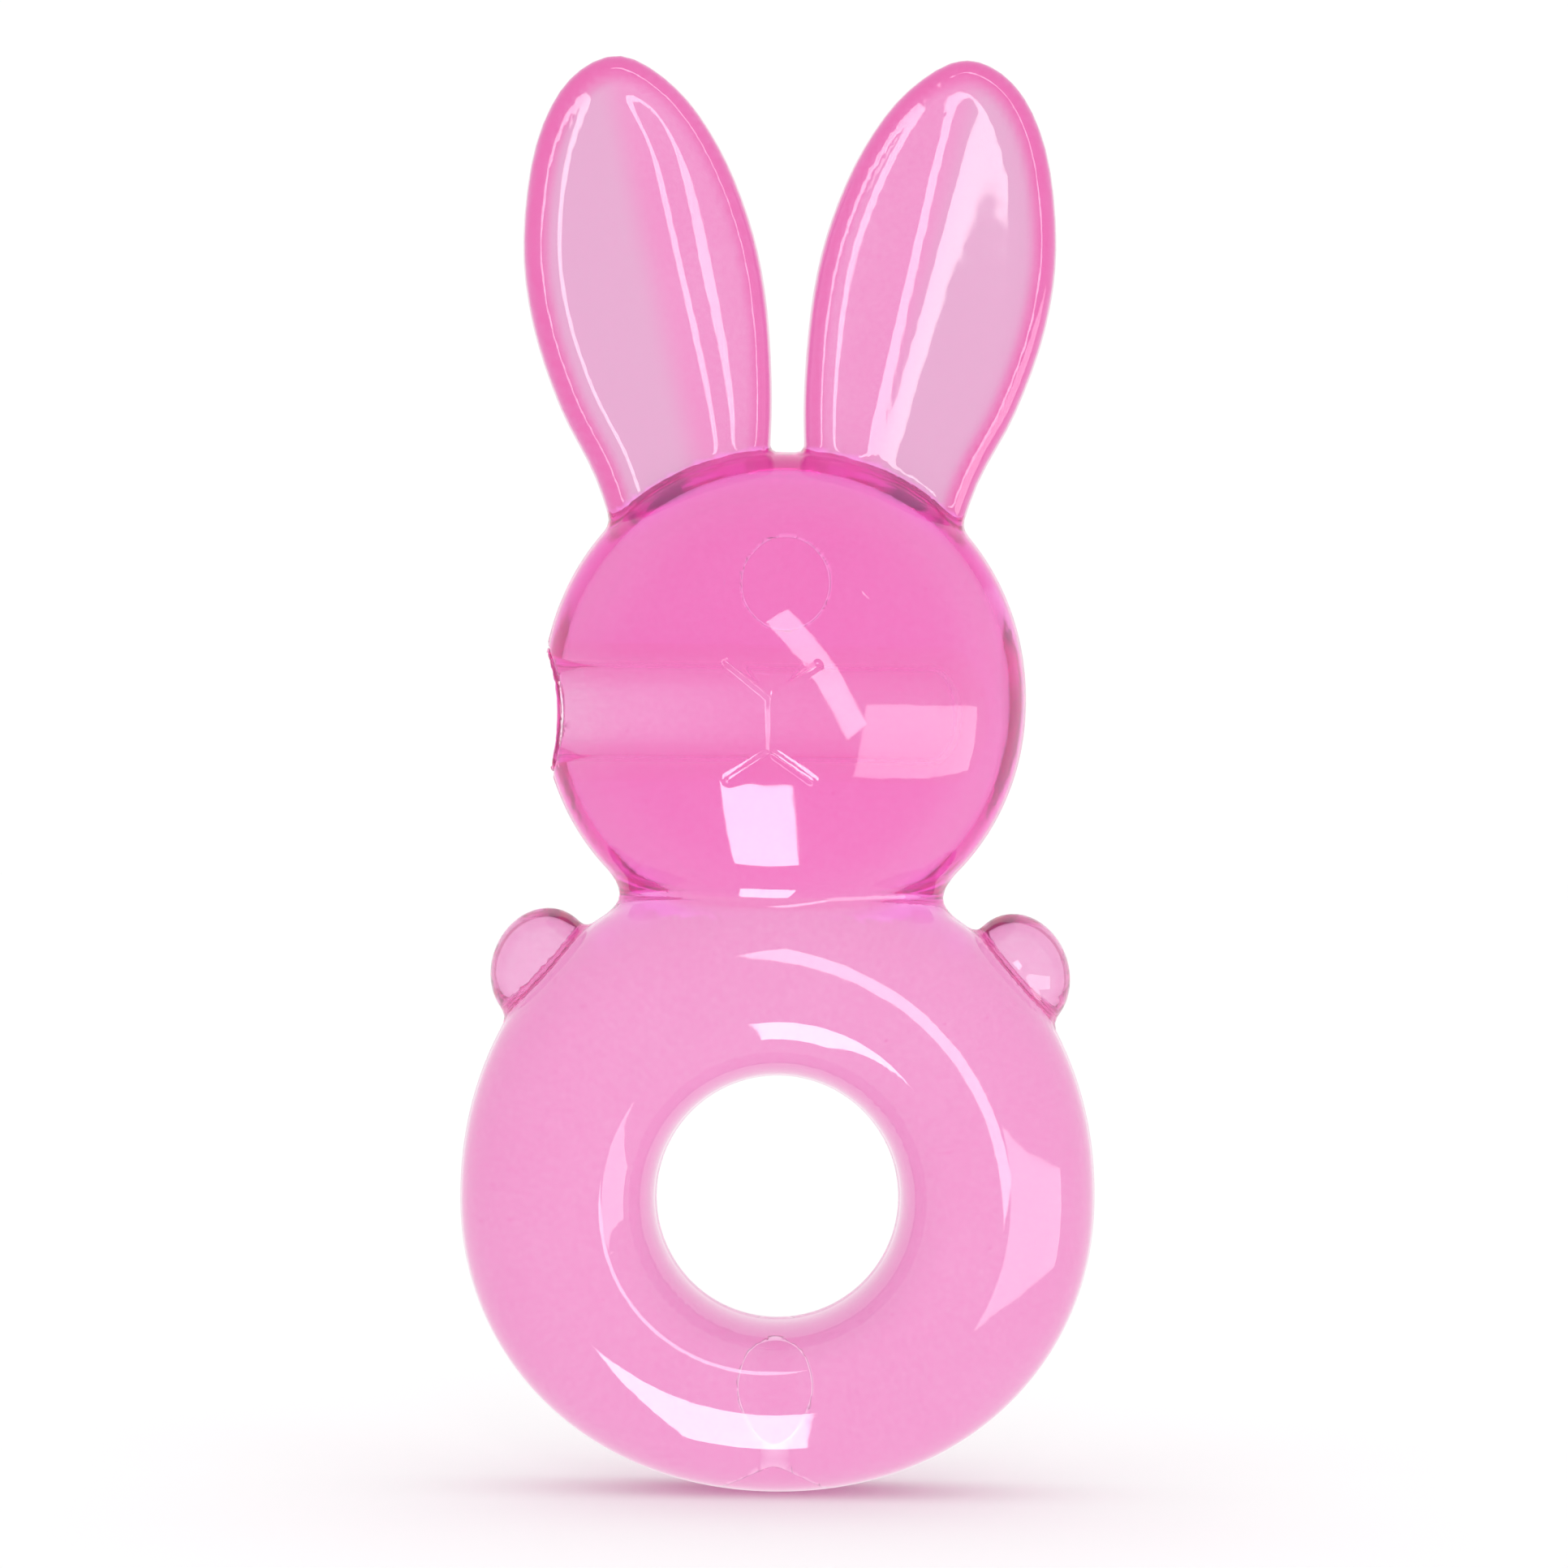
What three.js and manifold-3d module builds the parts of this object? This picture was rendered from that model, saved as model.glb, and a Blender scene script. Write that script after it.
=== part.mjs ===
// A rabbit-shaped, liquid-filled teething ring. Millimetres, +Z up towards the ears.
// The origin is the centre of the finger hole, the face looks towards -Y, and the
// moulding's parting plane is y = 0.
import * as THREE from 'three';
import { mergeVertices } from 'three/addons/utils/BufferGeometryUtils.js';
import Module from 'manifold-3d';

const wasm = await Module();
wasm.setup();

// ---- Driving dimensions ----------------------------------------------------------
const WALL = 1.8; // moulded skin
const GAP = 0.3; // room between a filling, or an inserted piece, and the skin
const REAR_FLAT_Y = 8.8; // plane of the flat lands that the ring lies on

const HOLE_RADIUS = 10.25; // finger hole
const RING = {
  halfWidth: 26.5,
  heightUp: 27.6,
  heightDown: 24.6,
  crestRadius: 16, // where the grip is thickest
  halfDepth: 9.2,
  outlinePower: 2.08,
  sectionPower: 2.6, // 2 is an ellipse, more is squarer
};
const HEAD = {
  z: 41.6,
  halfWidth: 20.2,
  heightUp: 21,
  heightDown: 20.2,
  frontDepth: 11.6,
  rearDepth: 10.6,
  outlinePower: 2.05,
  sectionPower: 2.2,
};
const NECK = { halfWidth: 13.2, halfDepth: 5.6, bottom: 17, top: 29 };
const BULKHEAD = { z: 24.4, thickness: 1.8 }; // web that parts the two chambers

const EAR = { halfDepth: 2.5, rim: 1.6, recess: 0.8, edgeRound: 1.1 };
// Outline of the +X ear, from its root by the middle gap round the tip to its outer root.
const EAR_OUTLINE = [
  [2.4, 55], [1.55, 62], [1.5, 68.5], [2.15, 75.9], [3.6, 82], [6.2, 88], [9.8, 92.8],
  [14.4, 95.4], [18.6, 93.4], [21.3, 88], [22.25, 80], [21.4, 73], [19, 66], [15.9, 60],
  [14.4, 55],
];
const PAW = {
  x: 20,
  z: 19,
  halfWidth: 4.1,
  halfLength: 4.9,
  halfDepth: 4,
  lean: 0.35,
  wall: 1.3,
};

const SOCKET = {
  z: 40.6,
  boreRadius: 3.8,
  outerRadius: 5.2,
  lipRadius: 4.7,
  lipDepth: 3.6,
  blindEnd: 15.2,
};
const PLUG = { radius: 1.9, flangeRadius: 3.1, flange: 0.9, depth: 3, headZ: 50, ringZ: -16.2 };

const SEGMENTS = { ring: 44, head: 36, section: 16, tube: 20, plug: 12, ear: 24, paw: 14 };
const FAR = 200; // larger than the object, for the cutting blocks

// ---- Helpers ---------------------------------------------------------------------
/** A closed three.js geometry as a solid that can be joined and cut. */
function solid(geometry) {
  const bare = geometry.index ? geometry.toNonIndexed() : geometry.clone();
  bare.deleteAttribute('normal');
  bare.deleteAttribute('uv');
  const merged = mergeVertices(bare, 1e-4);
  return new wasm.Manifold(
    new wasm.Mesh({
      numProp: 3,
      vertProperties: new Float32Array(merged.attributes.position.array),
      triVerts: new Uint32Array(merged.index.array),
    }),
  );
}

/** A solid as a three.js geometry. */
function geometryOf(body) {
  const mesh = body.getMesh();
  const geometry = new THREE.BufferGeometry();
  geometry.setAttribute('position', new THREE.BufferAttribute(mesh.vertProperties, 3));
  geometry.setIndex(new THREE.BufferAttribute(mesh.triVerts, 1));
  geometry.computeVertexNormals();
  return geometry;
}

/** A box between two corners. */
function block(low, high) {
  const size = high.map((value, axis) => value - low[axis]);
  const middle = high.map((value, axis) => (value + low[axis]) / 2);
  return solid(new THREE.BoxGeometry(...size).translate(...middle));
}

const power = (value, exponent) => Math.sign(value) * Math.abs(value) ** exponent;

/** Polar radius of a rounded outline with its own height above and below the centre. */
function outlineRadius(angle, { halfWidth, heightUp, heightDown, outlinePower: n }) {
  const height = Math.sin(angle) > 0 ? heightUp : heightDown;
  const across = Math.abs(Math.cos(angle) / halfWidth) ** n;
  const along = Math.abs(Math.sin(angle) / height) ** n;
  return (across + along) ** (-1 / n);
}

/** Moves a lathed shape's points outwards, so that its round rim takes an outline. */
function stretchToOutline(geometry, outline, inset, fixedRadius) {
  const points = geometry.attributes.position;
  for (let i = 0; i < points.count; i += 1) {
    const x = points.getX(i);
    const z = points.getZ(i);
    const radius = Math.hypot(x, z);
    const angle = Math.atan2(z, x);
    const target = outlineRadius(angle, outline) - inset - fixedRadius;
    const share = target / (outline.halfWidth - inset - fixedRadius);
    const stretched = fixedRadius + (radius - fixedRadius) * share;
    points.setXYZ(i, Math.cos(angle) * stretched, points.getY(i), Math.sin(angle) * stretched);
  }
  return geometry;
}

// ---- Outer forms and chambers ----------------------------------------------------
/** The ring's grip, or its chamber when inset: a lathe round Y, stretched to the outline. */
function ringForm(inset) {
  const inner = RING.crestRadius - HOLE_RADIUS - inset;
  const outer = RING.halfWidth - RING.crestRadius - inset;
  const depth = RING.halfDepth - inset;
  const rounding = 2 / RING.sectionPower;
  const profile = [];
  for (let i = 0; i <= SEGMENTS.section; i += 1) {
    const turn = (i % SEGMENTS.section) * ((2 * Math.PI) / SEGMENTS.section);
    const across = Math.cos(turn) > 0 ? outer : inner;
    profile.push(
      new THREE.Vector2(
        RING.crestRadius + across * power(Math.cos(turn), rounding),
        depth * power(Math.sin(turn), rounding),
      ),
    );
  }
  const lathe = new THREE.LatheGeometry(profile, SEGMENTS.ring);
  return solid(stretchToOutline(lathe, RING, inset, HOLE_RADIUS + inset));
}

/** The head's dome, or its chamber when inset. */
function headForm(inset) {
  const steps = SEGMENTS.section / 2 + 1;
  const rounding = 2 / HEAD.sectionPower;
  const profile = [];
  for (let i = 0; i <= steps; i += 1) {
    const turn = -Math.PI / 2 + (Math.PI * i) / steps;
    const depth = (turn < 0 ? HEAD.frontDepth : HEAD.rearDepth) - inset;
    const onAxis = i === 0 || i === steps;
    const radius = (HEAD.halfWidth - inset) * power(Math.cos(turn), rounding);
    profile.push(new THREE.Vector2(onAxis ? 0 : radius, depth * power(Math.sin(turn), rounding)));
  }
  const lathe = new THREE.LatheGeometry(profile, SEGMENTS.head);
  return solid(stretchToOutline(lathe, HEAD, inset, 0).translate(0, 0, HEAD.z));
}

/** The waist between head and ring. */
function neckForm() {
  const height = NECK.top - NECK.bottom;
  const column = new THREE.CylinderGeometry(1, 1, height, SEGMENTS.tube).rotateX(Math.PI / 2);
  column.scale(NECK.halfWidth, NECK.halfDepth, 1).translate(0, 0, NECK.bottom + height / 2);
  return solid(column);
}

/** The ear's outline on one side, drawn in by an inset. */
function earShape(side, inset) {
  const curve = new THREE.SplineCurve(EAR_OUTLINE.map(([x, z]) => new THREE.Vector2(x, z)));
  const points = [];
  for (let i = 0; i <= SEGMENTS.ear; i += 1) {
    const share = i / SEGMENTS.ear;
    const along = curve.getTangentAt(share);
    const inwards = new THREE.Vector2(along.y, -along.x);
    points.push(curve.getPointAt(share).addScaledVector(inwards, inset));
  }
  return new THREE.Shape(points.map((p) => new THREE.Vector2(side * p.x, p.y)));
}

/** A plate of an ear outline, centred on the parting plane. */
function earPlate(side, inset, halfDepth, round) {
  const plate = new THREE.ExtrudeGeometry(earShape(side, inset), {
    depth: 2 * (halfDepth - round),
    bevelEnabled: round > 0,
    bevelThickness: round,
    bevelSize: round,
    bevelOffset: -round,
    bevelSegments: 2,
    curveSegments: 1,
  });
  plate.translate(0, 0, round - halfDepth).rotateX(Math.PI / 2);
  return solid(plate);
}

/** An ear: a rimmed plate whose two faces are dished. */
function earForm(side) {
  const rimmed = earPlate(side, 0, EAR.halfDepth, EAR.edgeRound);
  const dish = earPlate(side, EAR.rim, EAR.recess, 0);
  const front = dish.translate(0, -EAR.halfDepth, 0);
  const rear = dish.translate(0, EAR.halfDepth, 0);
  return rimmed.subtract(front).subtract(rear);
}

/** A paw nub at one shoulder, or its hollow when inset. */
function pawForm(side, inset) {
  const nub = new THREE.SphereGeometry(1, SEGMENTS.paw, SEGMENTS.paw / 2 + 1).rotateX(Math.PI / 2);
  nub.scale(PAW.halfWidth - inset, PAW.halfDepth - inset, PAW.halfLength - inset);
  nub.rotateY(-side * PAW.lean).translate(side * PAW.x, 0, PAW.z);
  return solid(nub);
}

/** A round bar along X, from its lathe profile of [x, radius] pairs. */
function barAlongX(profile, segments) {
  const points = profile.map(([x, radius]) => new THREE.Vector2(radius, x));
  return solid(new THREE.LatheGeometry(points, segments).rotateZ(-Math.PI / 2));
}

/** The socket's outside, a bar with a rounded blind end, grown by a clearance. */
function socketBar(clearance) {
  const radius = SOCKET.outerRadius + clearance;
  const end = SOCKET.blindEnd + clearance;
  const profile = [[-2 * HEAD.halfWidth, 0], [-2 * HEAD.halfWidth, radius]];
  for (let turn = 0; turn <= 4; turn += 1) {
    const angle = (turn * Math.PI) / 8;
    const bulge = radius * 0.6;
    const onAxis = turn === 4;
    profile.push([end - bulge + bulge * Math.sin(angle), onAxis ? 0 : radius * Math.cos(angle)]);
  }
  return barAlongX(profile, SEGMENTS.tube).translate(0, 0, SOCKET.z);
}

/** The socket's bore with its flared mouth. */
function socketBore() {
  const mouth = -HEAD.halfWidth;
  const end = SOCKET.blindEnd - WALL;
  const profile = [
    [mouth - WALL, 0],
    [mouth - WALL, SOCKET.lipRadius + 0.4],
    [mouth, SOCKET.lipRadius],
    [mouth + SOCKET.lipDepth, SOCKET.boreRadius],
    [end - 1, SOCKET.boreRadius],
    [end, SOCKET.boreRadius - 1],
    [end, 0],
  ];
  return barAlongX(profile, SEGMENTS.tube).translate(0, 0, SOCKET.z);
}

/** A filling plug's form along Y, flush with the rear flat, grown by a clearance. */
function plugForm(z, clearance) {
  const top = REAR_FLAT_Y + (clearance > 0 ? WALL : 0);
  const shoulder = REAR_FLAT_Y - PLUG.flange - clearance;
  const bottom = REAR_FLAT_Y - PLUG.depth - clearance;
  const profile = [
    [bottom, 0],
    [bottom, PLUG.radius + clearance],
    [shoulder, PLUG.radius + clearance],
    [shoulder, PLUG.flangeRadius + clearance],
    [top, PLUG.flangeRadius + clearance],
    [top, 0],
  ].map(([y, radius]) => new THREE.Vector2(radius, y));
  return solid(new THREE.LatheGeometry(profile, SEGMENTS.plug).translate(0, 0, z));
}

// ---- Whole skin and its two chambers ---------------------------------------------
const behindFlat = block([-FAR, REAR_FLAT_Y, -FAR], [FAR, FAR, FAR]);
const aboveBulkhead = (gap) =>
  block([-FAR, -FAR, BULKHEAD.z + BULKHEAD.thickness / 2 + gap], [FAR, FAR, FAR]);
const belowBulkhead = (gap) =>
  block([-FAR, -FAR, -FAR], [FAR, FAR, BULKHEAD.z - BULKHEAD.thickness / 2 - gap]);

const behindChambers = (gap) => block([-FAR, REAR_FLAT_Y - WALL - gap, -FAR], [FAR, FAR, FAR]);

const headOuter = headForm(0).subtract(behindFlat);

function headChamber(gap) {
  return headForm(WALL + gap).intersect(aboveBulkhead(gap)).subtract(behindChambers(gap));
}

/** The ring's chamber, which reaches into both paws. */
function ringChamber(gap) {
  let chamber = ringForm(WALL + gap);
  for (const side of [-1, 1]) chamber = chamber.add(pawForm(side, PAW.wall + gap));
  return chamber.intersect(belowBulkhead(gap)).subtract(behindChambers(gap));
}

function skin() {
  let form = headOuter.add(ringForm(0)).add(neckForm());
  for (const side of [-1, 1]) form = form.add(earForm(side)).add(pawForm(side, 0));
  return form
    .subtract(behindFlat)
    .subtract(headChamber(0))
    .subtract(ringChamber(0))
    .subtract(socketBar(GAP))
    .subtract(plugForm(PLUG.headZ, GAP))
    .subtract(plugForm(PLUG.ringZ, GAP));
}

// ---- Pieces ----------------------------------------------------------------------
const FINISH = {
  shell: { color: 0xf29acb, roughness: 0.12, metalness: 0 },
  sleeve: { color: 0xf39bcf, roughness: 0.15, metalness: 0 },
  gel: { color: 0xe85cb4, roughness: 0.3, metalness: 0 },
  water: { color: 0xf8d3ea, roughness: 0.05, metalness: 0 },
  plug: { color: 0xf3a3d0, roughness: 0.2, metalness: 0 },
};

const teether = new THREE.Group();
teether.name = 'teething_ring';

function addPiece(name, body, finish) {
  const mesh = new THREE.Mesh(geometryOf(body), new THREE.MeshStandardMaterial(FINISH[finish]));
  mesh.name = name;
  teether.add(mesh);
}

const wholeSkin = skin();
addPiece('front_shell', wholeSkin.intersect(block([-FAR, -FAR, -FAR], [FAR, 0, FAR])), 'shell');
addPiece('rear_shell', wholeSkin.intersect(block([-FAR, 0, -FAR], [FAR, FAR, FAR])), 'shell');
addPiece('socket_sleeve', socketBar(0).intersect(headOuter).subtract(socketBore()), 'sleeve');
addPiece(
  'head_gel',
  headChamber(GAP).subtract(socketBar(GAP)).subtract(plugForm(PLUG.headZ, GAP)),
  'gel',
);
addPiece('ring_water', ringChamber(GAP).subtract(plugForm(PLUG.ringZ, GAP)), 'water');
addPiece('head_fill_plug', plugForm(PLUG.headZ, 0), 'plug');
addPiece('ring_fill_plug', plugForm(PLUG.ringZ, 0), 'plug');

export default teether;
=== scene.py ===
"""Looks for a rabbit-shaped, liquid-filled teething ring.

The moulded skin, the socket and the fillings are each a rule: a function of x, y, z in
millimetres that is negative inside the material. mesh_of() meshes a rule and puts every
point on its surface, so fillets, dishes and engraved lines are real geometry.
"""

import math

import bpy
import numpy as np
from mathutils import Matrix, Vector


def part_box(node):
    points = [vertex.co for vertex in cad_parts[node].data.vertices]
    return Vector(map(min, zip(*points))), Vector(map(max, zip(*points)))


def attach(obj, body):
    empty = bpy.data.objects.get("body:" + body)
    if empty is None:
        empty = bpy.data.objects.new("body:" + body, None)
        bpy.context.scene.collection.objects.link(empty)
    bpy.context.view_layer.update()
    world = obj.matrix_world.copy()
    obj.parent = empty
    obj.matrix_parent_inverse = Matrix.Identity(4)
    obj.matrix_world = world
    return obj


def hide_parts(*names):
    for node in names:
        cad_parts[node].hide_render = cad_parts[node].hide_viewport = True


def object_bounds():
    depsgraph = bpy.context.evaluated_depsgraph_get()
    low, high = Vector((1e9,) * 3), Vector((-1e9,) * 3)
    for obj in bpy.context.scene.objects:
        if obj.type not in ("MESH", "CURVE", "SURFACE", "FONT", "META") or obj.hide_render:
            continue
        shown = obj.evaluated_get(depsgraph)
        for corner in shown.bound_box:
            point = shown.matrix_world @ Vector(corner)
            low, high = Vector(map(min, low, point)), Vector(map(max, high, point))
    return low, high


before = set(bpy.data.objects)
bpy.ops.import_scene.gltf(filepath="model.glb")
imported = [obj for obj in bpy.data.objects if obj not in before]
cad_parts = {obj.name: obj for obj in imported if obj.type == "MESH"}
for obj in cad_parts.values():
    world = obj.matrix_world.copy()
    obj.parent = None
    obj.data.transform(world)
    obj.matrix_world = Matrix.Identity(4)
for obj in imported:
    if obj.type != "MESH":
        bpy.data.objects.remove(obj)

MM = 1000.0  # millimetres in a metre
cad_low, cad_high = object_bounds()


def span(node):
    """A CAD node's lowest and highest corners in millimetres."""
    low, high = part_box(node)
    return np.array(low) * MM, np.array(high) * MM


# ---- Camera ----------------------------------------------------------------------
LENS = 135.0
SENSOR = 36.0
VIEW_WIDTH = 131.6  # millimetres across the frame at the parting plane
VIEW_ROLL = math.radians(0.75)
LOOK_AT = (0.1, 0.0, 34.6)


def make_camera():
    data = bpy.data.cameras.new("camera")
    data.lens = LENS
    data.sensor_width = SENSOR
    data.clip_start = 0.01
    camera = bpy.data.objects.new("camera", data)
    distance = VIEW_WIDTH * LENS / SENSOR
    camera.location = Vector((LOOK_AT[0], LOOK_AT[1] - distance, LOOK_AT[2])) / MM
    upright = Matrix.Rotation(math.radians(90), 4, "X")
    camera.matrix_world = (
        Matrix.Translation(camera.location) @ Matrix.Rotation(-VIEW_ROLL, 4, "Y") @ upright
    )
    bpy.context.collection.objects.link(camera)
    bpy.context.scene.camera = camera


make_camera()

# ---- Sizes, from the frame -------------------------------------------------------
FRONT_LOW, FRONT_HIGH = span("front_shell")
REAR_FLAT = span("rear_shell")[1][1]
WATER_LOW, WATER_HIGH = span("ring_water")
GEL_LOW, GEL_HIGH = span("head_gel")
SLEEVE_LOW, SLEEVE_HIGH = span("socket_sleeve")

PLUG_NODES = ("head_fill_plug", "ring_fill_plug")

ROOM = 0.3  # between a filling and the skin
RING_HALF = FRONT_HIGH[0]
RING_DOWN = -FRONT_LOW[2]
WALL = RING_HALF - WATER_HIGH[0] - ROOM
EAR_TOP = FRONT_HIGH[2]
FACE_DEPTH = -FRONT_LOW[1]
BULKHEAD_TOP = GEL_LOW[2] - ROOM
BULKHEAD_BOTTOM = WATER_HIGH[2] + ROOM
SOCKET_Z = (SLEEVE_LOW[2] + SLEEVE_HIGH[2]) / 2
SLEEVE_RADIUS = (SLEEVE_HIGH[2] - SLEEVE_LOW[2]) / 2
SOCKET_END = SLEEVE_HIGH[0]

HOLE_RADIUS = 10.25
RING_UP = 27.6
RING_CREST = 16.0
RING_DEPTH = REAR_FLAT + 0.4  # and the ring's
HEAD_Z = 41.6
HEAD_HALF = 20.2
HEAD_UP = GEL_HIGH[2] + ROOM + WALL - HEAD_Z
HEAD_REAR = REAR_FLAT + 1.8  # the flat cuts the head's back off
BORE_RADIUS = 3.8
LIP_RADIUS = 4.7
SEAM = 0.05  # between pieces that touch
PLUG_SEAM = 0.02  # between a plug and its seat in the skin
HEAD_PLUG_Z, RING_PLUG_Z = [(span(n)[0] + span(n)[1])[2] / 2 for n in PLUG_NODES]
FLANGE_RADIUS = (span(PLUG_NODES[0])[1] - span(PLUG_NODES[0])[0])[0] / 2
STEM_RADIUS = 1.9
PLUG_DEPTH = 3.0
FLANGE = 0.9
NECK_HALF = 13.2
NECK_DEPTH = 5.6
NECK_Z = 23.0
NECK_REACH = 5.0  # up and down from there
PAW_X = 20.0
PAW_Z = 19.0
PAW_RADII = (4.1, 4.0, 4.9)  # across, through and along
PAW_LEAN = 0.35
PAW_WALL = 1.3
BEAD_HEIGHT = 0.12
BEAD_WIDTH = 0.45
EAR_DEPTH = 2.5
EAR_EDGE = 1.5  # radius of an ear's rounded edge
EAR_DISH = 0.5
EAR_RIDGE = 0.3

EAR_OUTLINE = [
    (2.4, 53), (1.6, 62), (1.5, 68.5), (2.15, 75.9), (3.6, 82), (6.2, 88), (9.8, 92.8),
    (14.4, EAR_TOP), (18.6, 93.4), (21.3, 88), (22.25, 80), (21.4, 73), (19, 66),
    (15.9, 60), (13.6, 53),
]


# ---- Rules ----------------------------------------------------------------------
def join(a, b, blend):
    """Union of two rules, filleted over a length."""
    share = np.clip(0.5 + 0.5 * (b - a) / blend, 0, 1)
    return b * (1 - share) + a * share - blend * share * (1 - share)


def cut(a, b, blend):
    """Rule a with b taken away, its new edges rounded over a length."""
    return -join(-a, b, blend)


def ramp(value, low, high):
    """0 below low, 1 above high, smooth between."""
    t = np.clip((value - low) / (high - low), 0, 1)
    return t * t * (3 - 2 * t)


def outline(angle, half, up, down, power):
    height = np.where(np.sin(angle) > 0, up, down)
    across = np.abs(np.cos(angle) / half) ** power
    along = np.abs(np.sin(angle) / height) ** power
    return (across + along) ** (-1 / power)


def pillow(u, v, width, depth, power):
    """Near-distance to a rounded section: u and v run from 0 at its middle to 1 at its edges."""
    u = np.abs(u) + 1e-4
    v = np.abs(v) + 1e-4
    size = (u**power + v**power) ** (1 / power)
    steep = np.hypot(u ** (power - 1) / width, v ** (power - 1) / depth) / size ** (power - 1)
    return (size - 1) / np.maximum(steep, 0.3 / np.maximum(width, depth))


def ring_rule(x, y, z, inset=0.0, power=2.6):
    radius = np.hypot(x, z)
    edge = outline(np.arctan2(z, x), RING_HALF, RING_UP, RING_DOWN, 2.08)
    share = (edge - HOLE_RADIUS) / (RING_HALF - HOLE_RADIUS)
    crest = HOLE_RADIUS + (RING_CREST - HOLE_RADIUS) * share
    width = np.where(radius > crest, edge - crest, crest - HOLE_RADIUS) - inset
    depth = RING_DEPTH - inset
    return pillow((radius - crest) / width, y / depth, width, depth, power)


def head_rule(x, y, z, inset=0.0, power=2.2):
    radius = np.hypot(x, z - HEAD_Z)
    edge = outline(np.arctan2(z - HEAD_Z, x), HEAD_HALF, HEAD_UP, HEAD_HALF, 2.05) - inset
    depth = np.where(y < 0, FACE_DEPTH, HEAD_REAR) - inset
    return pillow(radius / edge, y / depth, edge, depth, power)


def neck_rule(x, y, z):
    column = pillow(x / NECK_HALF, y / NECK_DEPTH, NECK_HALF, NECK_DEPTH, 2.0)
    return np.maximum(column, np.abs(z - NECK_Z) - NECK_REACH)


def smooth_outline(points, per_span=6):
    """A rounded line through the points, as a dense list."""
    p = np.array(points, float)
    before = np.vstack([2 * p[0] - p[1], p[:-1]])
    after = np.vstack([p[1:], 2 * p[-1] - p[-2]])
    slope = (after - before) / 2
    t = np.arange(per_span)[:, None, None] / per_span
    a, b = p[:-1], p[1:]
    da, db = slope[:-1], slope[1:]
    curve = (
        (2 * t**3 - 3 * t**2 + 1) * a
        + (t**3 - 2 * t**2 + t) * da
        + (3 * t**2 - 2 * t**3) * b
        + (t**3 - t**2) * db
    )
    return np.vstack([curve.transpose(1, 0, 2).reshape(-1, 2), p[-1:]])


EAR_LINE = smooth_outline(EAR_OUTLINE, 4)


def inside_line(x, z, line):
    """Distance to a closed line in the x-z plane, negative inside."""
    near = np.full(np.broadcast(x, z).shape, 1e9)
    crossings = np.zeros(near.shape, bool)
    for (ax, az), (bx, bz) in zip(line, np.roll(line, -1, axis=0)):
        ex, ez = bx - ax, bz - az
        t = np.clip(((x - ax) * ex + (z - az) * ez) / (ex * ex + ez * ez), 0, 1)
        near = np.minimum(near, (x - ax - t * ex) ** 2 + (z - az - t * ez) ** 2)
        if bz != az:
            crosses = ((az > z) != (bz > z)) & (x < ex * (z - az) / ez + ax)
            crossings ^= crosses
    return np.where(crossings, -1, 1) * np.sqrt(near)



def ear_fold(x, z):
    """Distance across an ear from its lengthwise fold, positive on the outer half."""
    return np.abs(x) - (5.8 + (z - 61) * 0.235)


def ear_face(x, z, edge, soft):
    """0 on an ear's rim, 1 on its dished face; the rim is wider on the outer side."""
    rim = 1.3 + 0.5 * ramp(ear_fold(x, z), -3, 3)
    return ramp(-edge - rim, -soft / 2, soft / 2)


def ear_rule(x, y, z):
    """Both ears: plates with a rounded rim, a dished face and a soft lengthwise fold."""
    edge = inside_line(np.abs(x), z, EAR_LINE)
    dish = ear_face(x, z, edge, 3.0)
    ridge = EAR_RIDGE * np.exp(-((ear_fold(x, z) / 2.0) ** 2)) * ramp(-edge, 1.5, 5)
    depth = EAR_DEPTH - (EAR_DISH - ridge) * dish
    across = edge + EAR_EDGE
    through = np.abs(y) - depth + EAR_EDGE
    outside = np.hypot(np.maximum(across, 0), np.maximum(through, 0))
    return outside + np.minimum(np.maximum(across, through), 0) - EAR_EDGE


def paw_rule(x, y, z, inset=0.0):
    x = np.abs(x) - PAW_X
    z = z - PAW_Z
    along = z * math.cos(PAW_LEAN) - x * math.sin(PAW_LEAN)
    across = x * math.cos(PAW_LEAN) + z * math.sin(PAW_LEAN)
    radii = np.array(PAW_RADII) - inset
    size = np.sqrt((across / radii[0]) ** 2 + (y / radii[1]) ** 2 + (along / radii[2]) ** 2)
    return (size - 1) * radii[0]


def bar_rule(x, y, z, radius, end):
    """A round bar along x with a rounded right-hand end."""
    reach = np.maximum(x - (end - radius * 0.6), 0) / 0.6
    return np.sqrt(reach**2 + y**2 + (z - SOCKET_Z) ** 2) - radius


def bore_rule(x, y, z):
    """The socket's bore with its flared lip."""
    flare = (LIP_RADIUS - BORE_RADIUS) * ramp(-x, 15.5, 20.0)
    return bar_rule(x, y, z, BORE_RADIUS, SOCKET_END - WALL) - flare


def bead_rule(y):
    """The low bead where the two moulded halves are welded together."""
    return BEAD_HEIGHT * np.exp(-((y / BEAD_WIDTH) ** 2))


def outer_rule(x, y, z):
    body = join(ring_rule(x, y, z), neck_rule(x, y, z), blend=1.6)
    body = join(body, paw_rule(x, y, z), blend=0.9)
    body = join(body, head_rule(x, y, z), blend=1.5)
    body = join(body, ear_rule(x, y, z), blend=0.8)
    return cut(body - bead_rule(y), REAR_FLAT - y, blend=0.8)


def head_chamber(x, y, z, inset=0.0):
    chamber = cut(head_rule(x, y, z, WALL + inset), z - BULKHEAD_TOP - inset, blend=1.0)
    return cut(chamber, REAR_FLAT - WALL - inset - y, blend=0.8)


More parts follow.
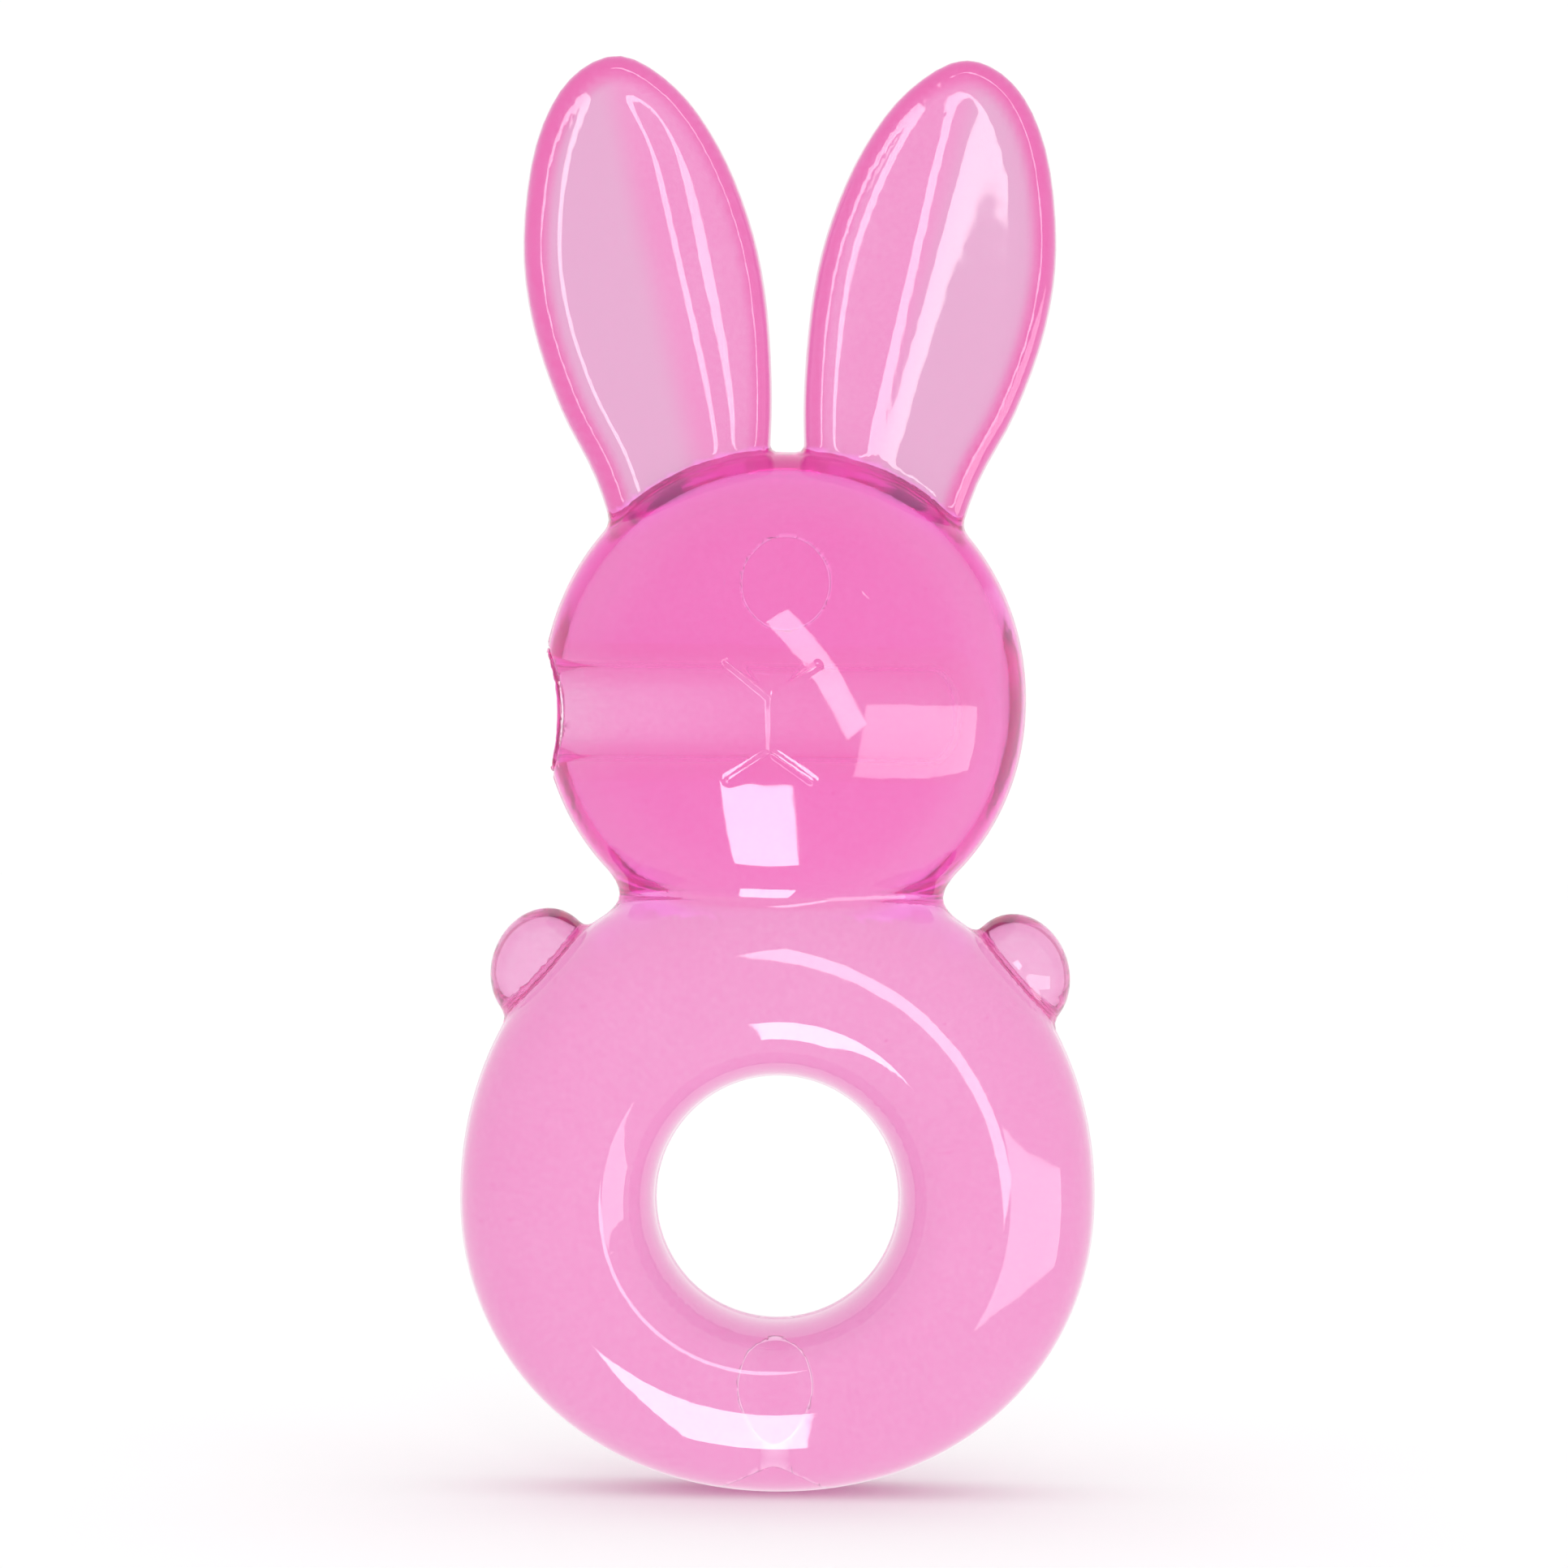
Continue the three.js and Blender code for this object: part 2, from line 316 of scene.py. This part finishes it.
def ring_chamber(x, y, z, inset=0.0):
    paws = paw_rule(x, y, z, PAW_WALL + inset)
    chamber = join(ring_rule(x, y, z, WALL + inset), paws, blend=1.0)
    chamber = cut(chamber, BULKHEAD_BOTTOM - inset - z, blend=1.0)
    return cut(chamber, REAR_FLAT - WALL - inset - y, blend=0.8)


def plug_rule(x, y, z, clearance):
    """Both filling plugs: a stem under a wider flange that ends at the rear flat."""
    nearest = np.where(z > BULKHEAD_TOP, HEAD_PLUG_Z, RING_PLUG_Z)
    radius = np.hypot(x, z - nearest)
    stem = np.maximum(radius - STEM_RADIUS, REAR_FLAT - PLUG_DEPTH - y)
    flange = np.maximum(radius - FLANGE_RADIUS, REAR_FLAT - FLANGE - y)
    return np.minimum(stem, flange) - clearance


def skin_rule(x, y, z):
    """The moulded skin round its two chambers, with the socket's and the plugs' seats."""
    form = cut(outer_rule(x, y, z), head_chamber(x, y, z), blend=0.05)
    form = cut(form, ring_chamber(x, y, z), blend=0.05)
    seat = np.maximum(bar_rule(x, y, z, SLEEVE_RADIUS + SEAM, SOCKET_END), x)
    form = cut(form, seat, blend=0.3)
    return cut(form, plug_rule(x, y, z, PLUG_SEAM), blend=0.04)


def sleeve_rule(x, y, z):
    tube = cut(bar_rule(x, y, z, SLEEVE_RADIUS, SOCKET_END), -outer_rule(x, y, z), blend=0.2)
    return cut(tube, bore_rule(x, y, z), blend=0.25)


def gel_rule(x, y, z):
    bar = bar_rule(x, y, z, SLEEVE_RADIUS + SEAM, SOCKET_END + SEAM)
    gel = cut(head_chamber(x, y, z, SEAM), bar, blend=0.3)
    return cut(gel, plug_rule(x, y, z, SEAM), blend=0.3)


def water_rule(x, y, z):
    return cut(ring_chamber(x, y, z, SEAM), plug_rule(x, y, z, SEAM), blend=0.3)


# The face's engraved lines, as pairs of (x, z) ends: nose, stem and mouth.
FACE_LINES = [
    ((-4.7, 44.6), (-1.05, 41.7)),
    ((2.65, 44.3), (-1.05, 41.7)),
    ((-1.05, 41.7), (-1.0, 37.2)),
    ((-1.0, 37.2), (-4.4, 34.9)),
    ((-1.0, 37.2), (2.4, 34.9)),
]
EYES = [(-6.3, 51.2), (7.3, 50.9)]
EYE_RADIUS = 1.15
LINE_WIDTH = 0.3
LINE_DEPTH = 0.14


def face_distance(x, z):
    """Distance in the x-z plane to the nearest engraved line of the face."""
    near = np.full(np.shape(x), 1e3)
    for (ax, az), (bx, bz) in FACE_LINES:
        ex, ez = bx - ax, bz - az
        t = np.clip(((x - ax) * ex + (z - az) * ez) / (ex**2 + ez**2), 0, 1)
        near = np.minimum(near, np.hypot(x - ax - t * ex, z - az - t * ez))
    for eye_x, eye_z in EYES:
        ring = np.abs(np.hypot(x - eye_x, z - eye_z) - EYE_RADIUS)
        near = np.minimum(near, ring + 0.25)
    return near


def detail_distance(x, y, z):
    """Distance to what needs a finer mesh: the face, the socket's mouth and the plugs' rims."""
    plug_z = np.where(z > BULKHEAD_TOP, HEAD_PLUG_Z, RING_PLUG_Z)
    rim = np.abs(np.hypot(x, z - plug_z) - FLANGE_RADIUS)
    outer = outer_rule(x, y, z)
    face = np.where((y < -EAR_DEPTH) & (outer > -0.3), face_distance(x, z), 1e3)
    mouth = np.abs(bar_rule(x, y, z, SLEEVE_RADIUS, SOCKET_END))
    front = np.minimum(face, np.where((x < -15) & (outer > -0.8), mouth, 1e3))
    return np.minimum(front, np.where(y > REAR_FLAT - 0.5, rim, 1e3))


def engraved_rule(x, y, z):
    groove = LINE_DEPTH * np.exp(-((face_distance(x, z) / LINE_WIDTH) ** 2))
    return skin_rule(x, y, z) + np.where(y < -EAR_DEPTH, groove, 0)


# ---- Meshing ---------------------------------------------------------------------
def slope_of(rule, points, step=0.02):
    """The rule's gradient at each point, by central differences."""
    grad = np.empty_like(points)
    for axis in range(3):
        shift = np.zeros(3)
        shift[axis] = step
        ahead = rule(*(points + shift).T)
        behind = rule(*(points - shift).T)
        grad[:, axis] = (ahead - behind) / (2 * step)
    return grad


def onto_surface(rule, points, rounds=3, most=0.5):
    for _ in range(rounds):
        grad = slope_of(rule, points)
        value = rule(*points.T)
        move = -(value / np.maximum((grad**2).sum(1), 1e-6))[:, None] * grad
        length = np.linalg.norm(move, axis=1, keepdims=True)
        points = points + move * np.minimum(1, most / np.maximum(length, 1e-9))
    return points


def net_of(rule, low, high, step):
    """A quad net on the rule's zero surface: one point in each grid cell that it crosses."""
    axes = [np.arange(a, b + step, step) for a, b in zip(low, high)]
    shape = tuple(len(a) for a in axes)
    values = np.broadcast_to(
        rule(axes[0][:, None, None], axes[1][None, :, None], axes[2][None, None, :]), shape
    )
    inside = values < 0
    cells = tuple(n - 1 for n in shape)
    total = np.zeros((*cells, 3))
    count = np.zeros(cells)
    edges = []
    for axis in range(3):
        u, v = (axis + 1) % 3, (axis + 2) % 3
        first = np.moveaxis(inside, axis, 0)[:-1]
        second = np.moveaxis(inside, axis, 0)[1:]
        where = np.moveaxis(first != second, 0, axis)
        at = np.argwhere(where)
        at = at[(at[:, u] > 0) & (at[:, v] > 0)]
        at = at[(at[:, u] < shape[u] - 1) & (at[:, v] < shape[v] - 1)]
        unit = np.eye(3, dtype=int)
        start = values[tuple(at.T)]
        finish = values[tuple((at + unit[axis]).T)]
        crossing = np.stack([axes[k][at[:, k]] for k in range(3)], 1)
        crossing[:, axis] += step * start / (start - finish)
        corners = [at - unit[u] - unit[v], at - unit[v], at, at - unit[u]]
        for corner in corners:
            np.add.at(total, tuple(corner.T), crossing)
            np.add.at(count, tuple(corner.T), 1)
        edges.append((corners, start < 0))
    used = count > 0
    number = np.full(cells, -1)
    number[used] = np.arange(used.sum())
    points = total[used] / count[used][:, None]
    quads = []
    for corners, outward in edges:
        ring = np.stack([number[tuple(c.T)] for c in corners], 1)
        quads.append(np.where(outward[:, None], ring, ring[:, ::-1]))
    return points, np.vstack(quads)


def relaxed(rule, points, quads, rounds=2):
    """Evens out the net and puts it back on the surface."""
    for _ in range(rounds):
        total = np.zeros_like(points)
        count = np.zeros(len(points))
        for k in range(4):
            here, there = quads[:, k], quads[:, (k + 1) % 4]
            np.add.at(total, here, points[there])
            np.add.at(total, there, points[here])
            np.add.at(count, here, 1)
            np.add.at(count, there, 1)
        points = 0.5 * points + 0.5 * total / count[:, None]
        points = onto_surface(rule, points, 2)
    return points


def split_near(points, faces, near):
    """Halves the edges whose two ends are near, and the triangles that hold them, with no gaps."""
    sides = np.sort(np.stack([faces, np.roll(faces, -1, axis=1)], 2), axis=2)
    edges, which = np.unique(sides.reshape(-1, 2), axis=0, return_inverse=True)
    halved = near[edges].all(axis=1)
    middle = np.full(len(edges), -1)
    middle[halved] = len(points) + np.arange(halved.sum())
    points = np.vstack([points, points[edges[halved]].mean(axis=1)])
    middles = middle[which].reshape(faces.shape)
    count = (middles >= 0).sum(axis=1)
    parts = [faces[count == 0]]
    for turn in range(3):
        a, b, c = np.roll(faces, -turn, axis=1).T
        ab, bc, ca = np.roll(middles, -turn, axis=1).T
        one = (count == 1) & (ab >= 0)
        parts += [np.stack([a, ab, c], 1)[one], np.stack([ab, b, c], 1)[one]]
        two = (count == 2) & (ca < 0)
        parts.append(np.stack([ab, b, bc], 1)[two])
        parts += [np.stack([a, ab, bc], 1)[two], np.stack([a, bc, c], 1)[two]]
        three = count == 3
        parts.append(np.stack([a, ab, ca], 1)[three])
    parts.append(middles[count == 3])
    return points, np.vstack(parts)


def mesh_of(rule, low, high, step):
    points, quads = net_of(rule, np.array(low) - 1.5, np.array(high) + 1.5, step)
    points = onto_surface(rule, points)
    points = relaxed(rule, points, quads)
    return points, quads


def piece_from(name, points, faces, material):
    data = bpy.data.meshes.new(name)
    data.from_pydata((points / MM).tolist(), [], [tuple(face) for face in faces])
    data.update()
    data.shade_smooth()
    data.materials.append(material)
    piece = bpy.data.objects.new(name, data)
    bpy.context.collection.objects.link(piece)
    return piece


# ---- Node trees ------------------------------------------------------------------
class Socket:
    """A node output that Python's arithmetic turns into Math nodes."""

    def __init__(self, tree, socket):
        self.tree = tree
        self.socket = socket

    def math(self, operation, other, flip=False):
        values = [other, self] if flip else [self, other]
        settings = {"operation": operation}
        return self.tree.node("ShaderNodeMath", settings, dict(enumerate(values)))

    def __add__(self, other):
        return self.math("ADD", other)

    def __sub__(self, other):
        return self.math("SUBTRACT", other)

    def __rsub__(self, other):
        return self.math("SUBTRACT", other, flip=True)

    def __mul__(self, other):
        return self.math("MULTIPLY", other)

    __radd__ = __add__
    __rmul__ = __mul__

    def above(self, low, high):
        """0 where this value is at most low, 1 from high on, smooth between."""
        settings = {"interpolation_type": "SMOOTHSTEP"}
        sockets = {"Value": self, "From Min": low, "From Max": high}
        return self.tree.node("ShaderNodeMapRange", settings, sockets)


class Material:
    """One material on a Principled shader, with its node tree."""

    def __init__(self, name, **constants):
        self.material = bpy.data.materials.new(name)
        self.material.use_nodes = True
        self.nodes = self.material.node_tree.nodes
        self.links = self.material.node_tree.links
        self.shader = self.nodes["Principled BSDF"]
        for socket, value in constants.items():
            self.set(self.shader.inputs[socket.replace("_", " ")], value)

    def set(self, target, value):
        if isinstance(value, Socket):
            self.links.new(value.socket, target)
        elif hasattr(target.default_value, "__len__") and len(target.default_value) == 4:
            target.default_value = (*value, 1) if len(value) == 3 else value
        else:
            target.default_value = value

    def node(self, kind, settings=(), sockets=(), output=0):
        made = self.nodes.new(kind)
        for key, value in dict(settings).items():
            setattr(made, key, value)
        for key, value in dict(sockets).items():
            self.set(made.inputs[key], value)
        return Socket(self, made.outputs[output])

    def place(self):
        """The point on the piece, in millimetres."""
        at = self.node("ShaderNodeTexCoord", output="Object")
        return self.node("ShaderNodeVectorMath", {"operation": "SCALE"}, {0: at, "Scale": MM})

    def attribute(self, name):
        return self.node("ShaderNodeAttribute", {"attribute_name": name}, output="Fac")

    def ramp(self, value, stops):
        """A colour read off a ramp of (place, colour) stops."""
        made = self.nodes.new("ShaderNodeValToRGB")
        elements = made.color_ramp.elements
        while len(elements) < len(stops):
            elements.new(0.5)
        for element, (place, colour) in zip(elements, stops):
            element.position = place
            element.color = (*colour, 1)
        self.set(made.inputs["Fac"], value)
        return Socket(self, made.outputs["Color"])

    def noise(self, at, size, detail=3.0, rough=0.5):
        """Noise from 0 to 1 with features of a size in millimetres."""
        sockets = {"Vector": at, "Scale": 1 / size, "Detail": detail, "Roughness": rough}
        return self.node("ShaderNodeTexNoise", {}, sockets)

    def mix(self, share, a, b):
        """A colour between a and b."""
        made = self.nodes.new("ShaderNodeMix")
        made.data_type = "RGBA"
        for key, value in {"Factor": share, "A": a, "B": b}.items():
            wanted = "VALUE" if key == "Factor" else "RGBA"
            self.set(next(s for s in made.inputs if s.name == key and s.type == wanted), value)
        return Socket(self, next(s for s in made.outputs if s.type == "RGBA"))

    def bump(self, height, depth, strength=1.0):
        """A bump whose height socket, from 0 to 1, stands for a depth in millimetres."""
        sockets = {"Height": height, "Distance": depth / MM, "Strength": strength}
        return self.node("ShaderNodeBump", {}, sockets)

    def tint(self, taken_per_mm):
        """Absorption inside the piece: the share of red, green and blue taken per millimetre."""
        density = max(taken_per_mm) * MM
        colour = [1 - taken * MM / density for taken in taken_per_mm]
        sockets = {"Color": colour, "Density": density}
        volume = self.node("ShaderNodeVolumeAbsorption", {}, sockets)
        self.links.new(volume.socket, self.nodes["Material Output"].inputs["Volume"])


# ---- Tint --------------------------------------------------------------------------
# How much plastic, in millimetres, the light seems to pass at each place of the skin.
BODY_TINT = 3.5
EAR_TINT = 3.9
RIM_TINT = 6.6
PAW_TINT = 3.0
# The head's deeper edge is painted shade.
HEAD_RIM = 1.6  # how far the head's deeper edge reaches in


def spot(x, z, at_x, at_z, size):
    return np.exp(-((x - at_x) ** 2 + (z - at_z) ** 2) / size**2)


def tint_rule(x, y, z):
    """The tint of the skin at points on its surface; on the head's edge and over the socket it holds
    painted shade and painted light.
    """
    edge = inside_line(np.abs(x), z, EAR_LINE)
    on_ear = (head_rule(x, y, z) > 0.3) & (z > HEAD_Z + 8)
    face = ear_face(x, z, edge, 0.8)
    ear = RIM_TINT + (EAR_TINT - RIM_TINT) * face

    in_head = -head_rule(x, 0 * y, z)  # depth inside the head's outline
    upper = ramp(z, BULKHEAD_BOTTOM - 0.2, BULKHEAD_BOTTOM + 0.6)
    # Painted shade and painted light on the head's edge: a deeper edge band, stronger on the right, and
    # a paler crescent inside it on the right.
    painted_light_crescent = ramp(in_head, HEAD_RIM - 0.3, HEAD_RIM + 0.5) - ramp(in_head, 3.6, 5.5)
    right = ramp(x, 2, 12)
    rim = 1 - ramp(in_head, HEAD_RIM - 0.4, HEAD_RIM + 0.6)
    head = BODY_TINT + rim * (0.5 + 0.9 * right)
    head += -0.3 * painted_light_crescent * right + 0.4 * ramp(in_head, 4, 7)

    on_paw = 1 - ramp(paw_rule(x, y, z), 0.0, 0.5)
    paw_edge = ramp(paw_rule(x, 0 * y, z), -1.5, -0.9)
    ring_edge = np.exp(np.minimum(ring_rule(x, 0 * y, z), 0) / 1.2)
    body = BODY_TINT - 0.5 * ring_edge
    body += (PAW_TINT + 0.8 * paw_edge - BODY_TINT) * on_paw

    tint = body + (head - body) * upper
    # Painted light and shade over the socket: a paler band where the bore is seen through, with deeper
    # fringes along its edges.
    over_socket = np.abs(z - SOCKET_Z)
    painted_light_band = np.exp(-((over_socket / 3.7) ** 4))
    painted_shade_fringe = np.exp(-(((over_socket - 4.6) / 0.9) ** 2))
    tint += (0.45 * painted_shade_fringe - 1.3 * painted_light_band) * (1 - ramp(x, -14, 12)) * upper
    return np.where(on_ear, ear, tint)


def grey_reflection_rule(x, y, z):
    """How far the skin is mixed to greyish pink: a painted reflection on the ears' outer halves only.
    """
    edge = inside_line(np.abs(x), z, EAR_LINE)
    on_ear = (head_rule(x, y, z) > 0.3) & (z > HEAD_Z + 8)
    outer_half = ramp(ear_fold(x, z), 0.2, 3.6) * ear_face(x, z, edge, 1.2)
    return np.where(on_ear, outer_half, 0)


def lilac_sheen_rule(x, y, z):
    """How purplish the skin is: a painted sheen along the dome's line, at the head's outline and on the
    neck's corners and shoulders.
    """
    in_head = -head_rule(x, 0 * y, z)
    line = np.exp(-(((in_head - 1.1) / 1.3) ** 2)) * ramp(z, HEAD_Z + 11, HEAD_Z + 16)
    corner = spot(np.abs(x), z, 12.2, 25.2, 2.0)
    shoulder_sheen = 0.3 * spot(np.abs(x), z, 14.8, 22.0, 1.4)
    rim = 0.8 * np.exp(-(((in_head - 0.4) / 1.0) ** 2)) * (z > BULKHEAD_BOTTOM)
    return np.clip(np.maximum(line, rim) * (in_head > -0.3) + corner + shoulder_sheen, 0, 1)


# ---- Materials -------------------------------------------------------------------
PINK = (0.020, 0.300, 0.118)  # share of red, green and blue that the plastic takes per mm
GEL = (0.0005, 0.047, 0.010)
WATER = (0.0004, 0.004, 0.001)
INNER_SHARE = 0.12  # of the tint that is inside the plastic; the rest is on its surface
TINT_RANGE = 8.0
TINT_STOPS = 8
MILK = 0.10  # share of the light that the plastic scatters back
PALENESS = 0.88  # of a surface without tint, which light passes twice
SURFACE_POWER = 0.84
# A greyish pink that paints a reflection on the ears' outer halves.
GREY_REFLECTION = (0.74, 0.45, 0.63)
# A pale purplish pink that paints a sheen.
LILAC_SHEEN = (1.0, 0.38, 0.95)  # pale, because the places that have it bounce light more often


def tinted(depth, paleness):
    """The surface colour that makes plastic look as deep as this many millimetres."""
    return tuple(paleness * math.exp(-taken * depth * SURFACE_POWER) for taken in PINK)


def plastic(name, milk=MILK, paleness=PALENESS, bending=1.45):
    """Glossy tinted plastic: its shine is smudged, and its buried faces are clear."""
    stuff = Material(name, IOR=bending, Transmission_Weight=1 - milk)
    at = stuff.place()
    depth = stuff.attribute("tint")
    cloud = stuff.noise(at, 11.0, 2.0)
    speck = stuff.noise(at, 0.7, 1.0).above(0.78, 0.82)
    grain = stuff.noise(at, 0.45, 2.0)
    depth = depth + (cloud - 0.5) * 0.9 + speck * 1.2 + (grain - 0.5) * 1.2
    shares = [step / TINT_STOPS for step in range(TINT_STOPS + 1)]
    stops = [(share, tinted(share * TINT_RANGE, paleness)) for share in shares]
    colour = stuff.ramp(depth * (1 / TINT_RANGE), stops)
    # Mixes in the painted greyish reflection on the ears.
    grey = stuff.attribute("grey") * (0.75 + grain * 0.3)
    colour = stuff.mix(grey, colour, GREY_REFLECTION)
    # Mixes in the painted purplish sheen.
    colour = stuff.mix(stuff.attribute("lilac_sheen"), colour, LILAC_SHEEN)
    stuff.set(stuff.shader.inputs["Base Color"], colour)
    smudge = stuff.noise(at, 9.0).above(0.45, 0.7)
    fine = stuff.noise(at, 0.8, 4.0)
    stuff.set(stuff.shader.inputs["Roughness"], 0.03 + smudge * 0.02 + fine * 0.02)
    ripple = stuff.noise(at, 5.0, 2.0)
    stuff.set(stuff.shader.inputs["Normal"], stuff.bump(ripple, 0.03, 0.5))
    stuff.set(stuff.shader.inputs["Alpha"], 1 - stuff.attribute("buried"))
    stuff.tint([taken * INNER_SHARE for taken in PINK])
    return stuff.material


def filling(name, colour, taken):
    """A liquid that meets the plastic without bending light, faintly cloudy in its tint."""
    stuff = Material(name, IOR=1.0, Roughness=0.0, Transmission_Weight=1.0)
    at = stuff.place()
    cloud = stuff.noise(at, 12.0, 2.0).above(0.3, 0.7)
    clear = tuple(1 - (1 - c) * 0.6 for c in colour)
    stuff.set(stuff.shader.inputs["Base Color"], stuff.mix(cloud, colour, clear))
    stuff.tint(taken)
    return stuff.material


# ---- Pieces ----------------------------------------------------------------------
SKIN_STEP = 0.58
SLEEVE_STEP = 0.3
FILLING_STEP = 0.8
FINE_REACHES = (1.6, 0.9)  # each halves the skin's triangles this near to its details
SLEEVE_TINT = 0.3


def mark(piece, name, values):
    data = piece.data.attributes.new(name, "FLOAT", "POINT")
    data.data.foreach_set("value", np.asarray(values, np.float32))


def finish(piece, slot, *nodes):
    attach(piece, "root")
    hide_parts(*nodes)


def make_skin(material):
    low = np.minimum(FRONT_LOW, span("rear_shell")[0])
    high = np.maximum(FRONT_HIGH, span("rear_shell")[1])
    points, quads = mesh_of(skin_rule, low, high, SKIN_STEP)
    faces = np.vstack([quads[:, [0, 1, 2]], quads[:, [0, 2, 3]]])
    for reach in FINE_REACHES:
        points, faces = split_near(points, faces, detail_distance(*points.T) < reach)
    points = onto_surface(engraved_rule, points)
    skin = piece_from("skin", points, faces, material)
    seat = plug_rule(*points.T, SEAM) < 0.2
    mark(skin, "buried", outer_rule(*points.T) < np.where(seat, -0.03, -0.4))
    mark(skin, "tint", tint_rule(*points.T))
    mark(skin, "grey", grey_reflection_rule(*points.T))
    mark(skin, "lilac_sheen", lilac_sheen_rule(*points.T))
    finish(skin, "shell", "front_shell", "rear_shell")


def make_sleeve(material):
    points, quads = mesh_of(sleeve_rule, SLEEVE_LOW, SLEEVE_HIGH, SLEEVE_STEP)
    sleeve = piece_from("socket_tube", points, quads, material)
    outside = bar_rule(*points.T, SLEEVE_RADIUS, SOCKET_END) > -0.1
    mark(sleeve, "buried", outside & (outer_rule(*points.T) < -0.12))
    mark(sleeve, "tint", np.full(len(points), SLEEVE_TINT))
    finish(sleeve, "sleeve", "socket_sleeve")


def turned(profile, segments):
    """A solid of revolution about Y from (radius, y) pairs that start and end on the axis."""
    turns = np.arange(segments) * 2 * math.pi / segments
    rows = [
        np.stack([r * np.cos(turns), np.full(segments, y), r * np.sin(turns)], 1)
        for r, y in profile[1:-1]
    ]
    points = np.vstack([[(0, profile[0][1], 0)], *rows, [(0, profile[-1][1], 0)]])
    here = np.arange(segments)
    there = np.roll(here, -1)
    faces = [(0, 1 + a, 1 + b) for a, b in zip(here, there)]
    for row in range(len(rows) - 1):
        base = 1 + row * segments
        for a, b in zip(here, there):
            faces.append((base + a, base + segments + a, base + segments + b, base + b))
    last = 1 + (len(rows) - 1) * segments
    faces += [(len(points) - 1, last + b, last + a) for a, b in zip(here, there)]
    return points, faces


def make_plugs(material):
    for node, z in zip(PLUG_NODES, (HEAD_PLUG_Z, RING_PLUG_Z)):
        profile = [
            (0, PLUG_DEPTH), (STEM_RADIUS - 0.3, PLUG_DEPTH), (STEM_RADIUS, PLUG_DEPTH - 0.3),
            (STEM_RADIUS, FLANGE), (FLANGE_RADIUS, FLANGE), (FLANGE_RADIUS, 0.05),
            (FLANGE_RADIUS - 0.015, 0.015), (FLANGE_RADIUS - 0.05, 0), (0, 0),
        ]
        points, faces = turned(profile, 72)
        points[:, 1] = REAR_FLAT - points[:, 1]
        points[:, 2] += z
        plug = piece_from(node.replace("fill", "filling"), points, faces, material)
        mark(plug, "buried", points[:, 1] < REAR_FLAT - 0.03)
        mark(plug, "tint", tint_rule(*points.T))
        finish(plug, "plug", node)


def make_filling(name, rule, low, high, material, slot, node):
    points, quads = mesh_of(rule, low, high, FILLING_STEP)
    finish(piece_from(name, points, quads, material), slot, node)


PLASTIC = plastic("pink_plastic")
make_skin(PLASTIC)
make_sleeve(plastic("clear_pink_plastic", milk=0.02, paleness=1.0, bending=1.12))
make_plugs(PLASTIC)
GEL_LOOK = filling("pink_gel", (1.0, 0.94, 0.97), GEL)
make_filling("gel_filling", gel_rule, GEL_LOW, GEL_HIGH, GEL_LOOK, "head_gel", "head_gel")
WATER_LOOK = filling("water", (1.0, 0.98, 0.99), WATER)
make_filling("water_filling", water_rule, WATER_LOW, WATER_HIGH, WATER_LOOK, "ring_water", "ring_water")


# ---- Floor and light -------------------------------------------------------------
FLOOR_HALF = 3000
LIGHT_DISTANCE = 900
LIGHT_AIM = Vector((0, 0, 20))


def make_floor():
    """The floor shows itself and the shadow on it, and stays out of the gloss."""
    data = bpy.data.meshes.new("floor")
    corners = [(-1, -1), (1, -1), (1, 1), (-1, 1)]
    points = [(x * FLOOR_HALF / MM, y * FLOOR_HALF / MM, cad_low[2]) for x, y in corners]
    data.from_pydata(points, [], [(0, 1, 2, 3)])
    floor = bpy.data.objects.new("floor", data)
    paint = Material("white_floor", Base_Color=(1, 1, 1), Roughness=0.9)
    data.materials.append(paint.material)
    floor.visible_glossy = False
    floor.visible_transmission = False
    floor.visible_shadow = False
    bpy.context.collection.objects.link(floor)


def make_light(name, bearing, rise, wide, tall, radiance, turn=0):
    """A soft box, placed and sized by the angles under which the object sees it."""
    bearing, rise = math.radians(bearing), math.radians(rise)
    towards = Vector((
        math.sin(bearing) * math.cos(rise),
        -math.cos(bearing) * math.cos(rise),
        math.sin(rise),
    ))
    data = bpy.data.lights.new(name, "AREA")
    data.shape = "RECTANGLE"
    data.size = 2 * LIGHT_DISTANCE / MM * math.tan(math.radians(wide / 2))
    data.size_y = 2 * LIGHT_DISTANCE / MM * math.tan(math.radians(tall / 2))
    data.energy = radiance * math.pi * data.size * data.size_y
    lamp = bpy.data.objects.new(name, data)
    facing = (-towards).to_track_quat("-Z", "Y").to_matrix().to_4x4()
    place = Matrix.Translation((LIGHT_AIM + towards * LIGHT_DISTANCE) / MM)
    lamp.matrix_world = place @ facing @ Matrix.Rotation(math.radians(turn), 4, "Z")
    lamp.visible_camera = False
    lamp.visible_transmission = False
    bpy.context.collection.objects.link(lamp)


def make_world():
    world = bpy.data.worlds.new("studio")
    world.use_nodes = True
    world.node_tree.nodes["Background"].inputs["Color"].default_value = (1, 1, 1, 1)
    world.node_tree.nodes["Background"].inputs["Strength"].default_value = 1.02
    bpy.context.scene.world = world


make_floor()
make_world()
make_light("low_front", -7, -36, 18, 34, 14)
make_light("right_window", 46, -9, 54, 20, 4.6)
make_light("near_strip", 8, 8, 6, 32, 8, turn=36)

scene = bpy.context.scene
scene.view_settings.view_transform = "Standard"
scene.cycles.max_bounces = 24
scene.cycles.glossy_bounces = 24
scene.cycles.transmission_bounces = 24
scene.cycles.transparent_max_bounces = 48
